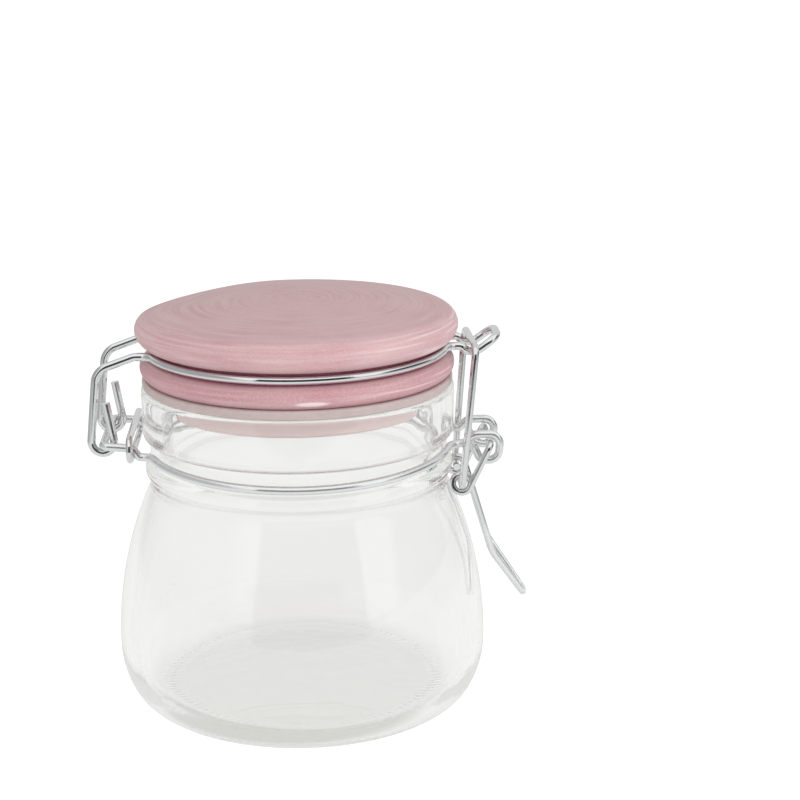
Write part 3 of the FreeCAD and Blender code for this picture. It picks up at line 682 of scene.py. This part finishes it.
# ---- the studio ----
TARGET = AXIS + Vector((0, 0, 0.055))
CAMERA_TURN = radians(-0.42)
CAMERA_HEIGHT = radians(18.302)
CAMERA_AWAY = 0.500
CAMERA_ROLL = radians(1.186)
CAMERA_LENS = 79.1
CAMERA_SHIFT = (0.1253, 0.1314)

# each lamp's name, place, width and height in metres, and watts
LAMPS = (
    ("key", (-0.45, -0.75, 0.40), (0.5, 0.5), 2.6),
    ("fill", (0.75, -0.4, 0.35), (0.4, 0.6), 3.2),
)
FILL_LOW = 0.70  # strength of the soft light from just above the floor, and from overhead
FILL_HIGH = 0.62

FLOOR_SIZE = 12
FLOOR_Z = -0.0002
FLOOR_GLOW = 0.78  # the floor's white is part glow and part what the lamps give, which keeps the shadow
FLOOR_SHARE = 0.42
PAPER_FIBRE = 900.0  # to a metre
SWEEP_HALF = 0.16  # half the width of the white sweep, in metres
SWEEP_FRONT = 0.30  # how far it reaches in front of the jar
SWEEP_FADE = 0.25
SWEEP_END = 0.03  # over which its front end fades
STAND_TURN = radians(6)  # the dark stand, from straight in front towards the right
STAND_EDGE = (0.79, 0.83)  # cosines of half its width
STAND_TOP = (0.56, 0.50)  # sines of the height where it ends
CORNER_EDGE = (0.86, 0.93)  # how far right, as a part of all round, the dark corner begins
GREY_EDGE = (-0.55, -0.8)  # and how far left the grey wall does
BACKDROP_EDGE = (-0.1, 0.2)  # and how far back the sweep does

WHITE = (1, 1, 1, 1)
ROOM_DARK = (0.05, 0.052, 0.055, 1)
ROOM_GREY = (0.40, 0.41, 0.41, 1)
BACKDROP = (0.855, 0.855, 0.85, 1)  # the sweep behind the jar, as it shows through glass
BACKDROP_MIRRORED = (0.70, 0.70, 0.695, 1)  # and as glass and metal mirror it
GREY_IN_GLASS = (0.78, 0.79, 0.78, 1)  # the room beside the sweep, once its light has gone through glass
DARK_IN_GLASS = (0.42, 0.43, 0.42, 1)
SHADED_PAPER = (0.60, 0.605, 0.57, 1)  # the paper under the heel, as it shows through the glass
HEEL_BACK = AXIS + Vector((0.006, 0.03, 0))  # only the heel's front shows it: a point behind the axis
HEEL_SHADE = (0.065, 0.073)  # where it begins and is deepest, in metres from that point
HEEL_FRONT = (-0.015, -0.03)  # and how far in front of the axis
BASE_SHADE = (0.055, 0.035)  # the base shows less of it, within these distances from the axis
BASE_SHARE = 0.4


def jar_rays(tree, path):
    """1 where glass or metal has just turned the ray, and 1 where it has gone through glass."""
    turned = add(
        tree, "ShaderNodeMath", {"operation": "MAXIMUM"},
        i0=path["Is Glossy Ray"], i1=path["Is Transmission Ray"],
    )
    in_glass = add(
        tree, "ShaderNodeMath", {"operation": "GREATER_THAN"}, i0=path["Transmission Depth"], i1=0.5
    )
    return turned, in_glass


def toward_stand(tree, split):
    """1 in the level directions from the jar in which the dark stand is."""
    flat = add(tree, "ShaderNodeCombineXYZ", X=split.outputs["X"], Y=split.outputs["Y"])
    level = add(tree, "ShaderNodeVectorMath", {"operation": "NORMALIZE"}, i0=flat)
    stand = (sin(STAND_TURN), -cos(STAND_TURN), 0)
    facing = add(tree, "ShaderNodeVectorMath", {"operation": "DOT_PRODUCT"}, i0=level, i1=stand)
    return add(tree, "ShaderNodeMapRange", SOFT, Value=facing, From_Min=STAND_EDGE[0], From_Max=STAND_EDGE[1])


def place_camera():
    away = Vector(
        (-sin(CAMERA_TURN) * cos(CAMERA_HEIGHT), -cos(CAMERA_TURN) * cos(CAMERA_HEIGHT), sin(CAMERA_HEIGHT))
    )
    right = Vector((cos(CAMERA_TURN), -sin(CAMERA_TURN), 0))
    up = away.cross(right)
    across = right * cos(CAMERA_ROLL) - up * sin(CAMERA_ROLL)
    rise = right * sin(CAMERA_ROLL) + up * cos(CAMERA_ROLL)
    data = bpy.data.cameras.new("camera")
    data.lens = CAMERA_LENS
    data.sensor_width = 36
    data.shift_x, data.shift_y = CAMERA_SHIFT
    data.clip_start = 0.01
    data.clip_end = 100
    camera = bpy.data.objects.new("camera", data)
    bpy.context.scene.collection.objects.link(camera)
    turn = Matrix((across, rise, away)).transposed()
    camera.matrix_world = Matrix.Translation(TARGET + away * CAMERA_AWAY) @ turn.to_4x4()
    bpy.context.scene.camera = camera


def add_lamp(name, place, size, watts):
    data = bpy.data.lights.new(name, "AREA")
    data.shape = "RECTANGLE"
    data.size, data.size_y = size
    data.energy = watts
    lamp = bpy.data.objects.new(name, data)
    bpy.context.scene.collection.objects.link(lamp)
    lamp.location = place
    lamp.rotation_euler = (TARGET - Vector(place)).to_track_quat("-Z", "Y").to_euler()
    lamp.visible_glossy = False
    lamp.visible_transmission = False


def pale_floor():
    """Smooth white paper, matte and shown as white where nothing shades it. In glass and metal it ends where
    the sweep does: darker floor at the sides, and the dark stand in front."""
    material, tree = new_material("white paper sweep")
    place = add(tree, "ShaderNodeTexCoord").outputs["Object"]
    split = add(tree, "ShaderNodeSeparateXYZ", Vector=place)
    path = add(tree, "ShaderNodeLightPath").outputs
    fibre = add(tree, "ShaderNodeTexNoise", Vector=place, Scale=PAPER_FIBRE, Detail=2.0)
    paper = add(tree, "ShaderNodeMix", COLOURS, i0=fibre, i6=(0.86, 0.86, 0.86, 1), i7=(0.9, 0.9, 0.9, 1))
    away = add(tree, "ShaderNodeMath", {"operation": "ABSOLUTE"}, i0=split.outputs["X"])
    beside = add(
        tree, "ShaderNodeMapRange", SOFT, Value=away, From_Min=SWEEP_HALF, From_Max=SWEEP_HALF + SWEEP_FADE
    )
    before = add(
        tree, "ShaderNodeMapRange", SOFT,
        Value=split.outputs["Y"], From_Min=-SWEEP_FRONT, From_Max=-SWEEP_FRONT - SWEEP_END,
    )
    stand = add(tree, "ShaderNodeMath", {"operation": "MULTIPLY"}, i0=before, i1=toward_stand(tree, split))
    turned, in_glass = jar_rays(tree, path)
    grey = add(tree, "ShaderNodeMix", COLOURS, i0=in_glass, i6=ROOM_GREY, i7=GREY_IN_GLASS)
    dark = add(tree, "ShaderNodeMix", COLOURS, i0=in_glass, i6=ROOM_DARK, i7=DARK_IN_GLASS)
    sweep = add(tree, "ShaderNodeMix", COLOURS, i0=in_glass, i6=BACKDROP_MIRRORED, i7=BACKDROP)
    # the thick heel and base bend light away from the paper under them
    apart = add(tree, "ShaderNodeVectorMath", {"operation": "DISTANCE"}, i0=place, i1=HEEL_BACK)
    heel = add(tree, "ShaderNodeMapRange", SOFT, Value=apart, From_Min=HEEL_SHADE[0], From_Max=HEEL_SHADE[1])
    front = add(
        tree, "ShaderNodeMapRange", SOFT,
        Value=split.outputs["Y"], From_Min=HEEL_FRONT[0], From_Max=HEEL_FRONT[1],
    )
    ring = add(tree, "ShaderNodeMath", {"operation": "MULTIPLY"}, i0=heel, i1=front)
    out = add(tree, "ShaderNodeVectorMath", {"operation": "DISTANCE"}, i0=place, i1=AXIS)
    base = add(
        tree, "ShaderNodeMapRange", SOFT,
        Value=out, From_Min=BASE_SHADE[0], From_Max=BASE_SHADE[1], To_Max=BASE_SHARE,
    )
    both = add(tree, "ShaderNodeMath", {"operation": "MAXIMUM"}, i0=ring, i1=base)
    under = add(tree, "ShaderNodeMath", {"operation": "MULTIPLY"}, i0=both, i1=in_glass)
    heeled = add(tree, "ShaderNodeMix", COLOURS, i0=under, i6=sweep, i7=SHADED_PAPER)
    floor = add(tree, "ShaderNodeMix", COLOURS, i0=beside, i6=heeled, i7=grey)
    shown = add(tree, "ShaderNodeMix", COLOURS, i0=stand, i6=floor, i7=dark)
    level = add(tree, "ShaderNodeMix", COLOURS, i0=path["Is Camera Ray"], i6=shown, i7=WHITE)
    shaded = add(
        tree, "ShaderNodeMix", {**COLOURS, "blend_type": "MULTIPLY"},
        i0=1.0, i6=level, i7=(FLOOR_SHARE, FLOOR_SHARE, FLOOR_SHARE, 1),
    )
    bounce = add(tree, "ShaderNodeBsdfDiffuse", Color=paper)
    seen = add(tree, "ShaderNodeBsdfDiffuse", Color=shaded)
    glow = add(tree, "ShaderNodeEmission", Color=level, Strength=FLOOR_GLOW)
    white = add(tree, "ShaderNodeAddShader", i0=seen, i1=glow)
    direct = add(tree, "ShaderNodeMath", {"operation": "MAXIMUM"}, i0=turned, i1=path["Is Camera Ray"])
    mix = add(tree, "ShaderNodeMixShader", Fac=direct, i1=bounce, i2=white)
    add(tree, "ShaderNodeOutputMaterial", Surface=mix)
    return material


def studio_light():
    """World light: white to the camera, and in metal and glass a room with the dark stand in front, a grey
    wall on the left and a dark corner on the right."""
    world = bpy.data.worlds.new("studio")
    bpy.context.scene.world = world
    world.use_nodes = True
    tree = world.node_tree
    tree.nodes.clear()
    way = add(tree, "ShaderNodeTexCoord").outputs["Generated"]
    split = add(tree, "ShaderNodeSeparateXYZ", Vector=way)
    right, back, up = (split.outputs[axis] for axis in "XYZ")
    path = add(tree, "ShaderNodeLightPath").outputs
    below = add(tree, "ShaderNodeMapRange", SOFT, Value=up, From_Min=STAND_TOP[0], From_Max=STAND_TOP[1])
    stand = add(tree, "ShaderNodeMath", {"operation": "MULTIPLY"}, i0=toward_stand(tree, split), i1=below)
    aside = add(
        tree, "ShaderNodeMapRange", SOFT, Value=right, From_Min=CORNER_EDGE[0], From_Max=CORNER_EDGE[1]
    )
    corner = add(tree, "ShaderNodeMath", {"operation": "MULTIPLY"}, i0=aside, i1=below)
    left = add(tree, "ShaderNodeMapRange", SOFT, Value=right, From_Min=GREY_EDGE[0], From_Max=GREY_EDGE[1])
    behind = add(
        tree, "ShaderNodeMapRange", SOFT, Value=back, From_Min=BACKDROP_EDGE[0], From_Max=BACKDROP_EDGE[1]
    )
    turned, in_glass = jar_rays(tree, path)
    sweep = add(tree, "ShaderNodeMix", COLOURS, i0=in_glass, i6=BACKDROP_MIRRORED, i7=BACKDROP)
    white = add(tree, "ShaderNodeMix", COLOURS, i0=behind, i6=WHITE, i7=sweep)
    wall = add(tree, "ShaderNodeMix", COLOURS, i0=left, i6=white, i7=ROOM_GREY)
    walls = add(tree, "ShaderNodeMix", COLOURS, i0=corner, i6=wall, i7=ROOM_DARK)
    sides = add(tree, "ShaderNodeMix", COLOURS, i0=in_glass, i6=walls, i7=BACKDROP)
    dark = add(tree, "ShaderNodeMix", COLOURS, i0=in_glass, i6=ROOM_DARK, i7=DARK_IN_GLASS)
    room = add(tree, "ShaderNodeMix", COLOURS, i0=stand, i6=sides, i7=dark)
    # soft light: a little stronger from the walls than from the ceiling
    height = add(
        tree, "ShaderNodeMapRange", Value=up, From_Min=0.1, From_Max=0.9, To_Min=FILL_LOW, To_Max=FILL_HIGH
    )
    shown = add(tree, "ShaderNodeBackground", Color=room, Strength=1.0)
    plain = add(tree, "ShaderNodeBackground", Color=WHITE, Strength=1.0)
    fill = add(tree, "ShaderNodeBackground", Color=WHITE, Strength=height)
    first = add(tree, "ShaderNodeMixShader", Fac=turned, i1=fill, i2=shown)
    second = add(tree, "ShaderNodeMixShader", Fac=path["Is Camera Ray"], i1=first, i2=plain)
    add(tree, "ShaderNodeOutputWorld", Surface=second)


# ---- operators ----
class JAR_OT_glass(bpy.types.Operator):
    """Turns the glass jar with its ridged foot, mould seams and uneven inner wall"""

    bl_idname = "jar.glass"
    bl_label = "Glass jar"

    def execute(self, context):
        sizes = context.scene.jar_glass
        bm = jar_outline().turned(JAR_TURN)
        ridge_foot(bm, sizes.ridge_depth / MM)
        raise_seam(bm, sizes.seam_height / MM, sizes.seam_turn)
        wave_inside(bm, sizes.waviness / MM)
        finish_piece(bm, "glass_jar", "jar", soda_lime_glass(sizes.tint))
        return {"FINISHED"}


class JAR_OT_lid(bpy.types.Operator):
    """Turns the stoneware lid and glazes it"""

    bl_idname = "jar.lid"
    bl_label = "Stoneware lid"

    def execute(self, context):
        sizes = context.scene.jar_lid
        bm = lid_outline().turned(LID_TURN)
        sag_edge(bm, sizes.sag / MM)
        wander_glaze(bm, sizes.wobble / MM)
        finish_piece(bm, "glazed_lid", "lid", pink_glaze(sizes))
        return {"FINISHED"}


class JAR_OT_gasket(bpy.types.Operator):
    """Turns the rubber gasket"""

    bl_idname = "jar.gasket"
    bl_label = "Rubber gasket"

    def execute(self, context):
        bm = gasket_outline().turned(GASKET_TURN)
        finish_piece(bm, "rubber_gasket", "gasket", gasket_rubber(context.scene.jar_gasket.rubber))
        return {"FINISHED"}


class JAR_OT_wires(bpy.types.Operator):
    """Gives the wires of the closure their plating, duller on the two round the neck"""

    bl_idname = "jar.wires"
    bl_label = "Closure wires"

    def execute(self, context):
        sizes = context.scene.jar_wire
        bright = tinned_wire("bright tinned steel wire", sizes.steel, sizes.roughness, 1.0)
        dull = tinned_wire("dull tinned steel wire", sizes.steel, sizes.neck_roughness, NECK_POLISH)
        for node in BRIGHT_WIRES + NECK_WIRES:
            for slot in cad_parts[node].material_slots:
                slot.material = dull if node in NECK_WIRES else bright
        return {"FINISHED"}


class JAR_OT_stage(bpy.types.Operator):
    """Sets the white floor, the studio light and the camera"""

    bl_idname = "jar.stage"
    bl_label = "Stage"

    def execute(self, context):
        bpy.ops.mesh.primitive_plane_add(size=FLOOR_SIZE, location=(0, 0, FLOOR_Z))
        floor = context.active_object
        floor.name = "floor"
        floor.data.materials.append(pale_floor())
        studio_light()
        for lamp in LAMPS:
            add_lamp(*lamp)
        place_camera()
        context.scene.view_settings.view_transform = "Standard"
        return {"FINISHED"}


class JAR_PT_panel(bpy.types.Panel):
    """Lists the steps that build the jar"""

    bl_idname = "JAR_PT_panel"
    bl_label = "Preserving jar"
    bl_space_type = "VIEW_3D"
    bl_region_type = "UI"
    bl_category = "Jar"

    def draw(self, context):
        for group, step in (
            ("jar_glass", JAR_OT_glass),
            ("jar_lid", JAR_OT_lid),
            ("jar_gasket", JAR_OT_gasket),
            ("jar_wire", JAR_OT_wires),
            (None, JAR_OT_stage),
        ):
            box = self.layout.box()
            box.operator(step.bl_idname)
            if group:
                settings = getattr(context.scene, group)
                for name in settings.__annotations__:
                    box.prop(settings, name)


GROUPS = {"jar_glass": JarGlass, "jar_lid": LidGlaze, "jar_gasket": GasketRubber, "jar_wire": ClosureWire}
STEPS = (JAR_OT_glass, JAR_OT_lid, JAR_OT_gasket, JAR_OT_wires, JAR_OT_stage)


def register():
    for kind in (*GROUPS.values(), *STEPS, JAR_PT_panel):
        bpy.utils.register_class(kind)
    for name, group in GROUPS.items():
        setattr(bpy.types.Scene, name, bpy.props.PointerProperty(type=group))


def unregister():
    for name in GROUPS:
        delattr(bpy.types.Scene, name)
    for kind in (JAR_PT_panel, *STEPS[::-1], *GROUPS.values()):
        bpy.utils.unregister_class(kind)


def main():
    register()
    bpy.ops.jar.glass()
    bpy.ops.jar.lid()
    bpy.ops.jar.gasket()
    bpy.ops.jar.wires()
    bpy.ops.jar.stage()


if __name__ == "__main__":
    main()
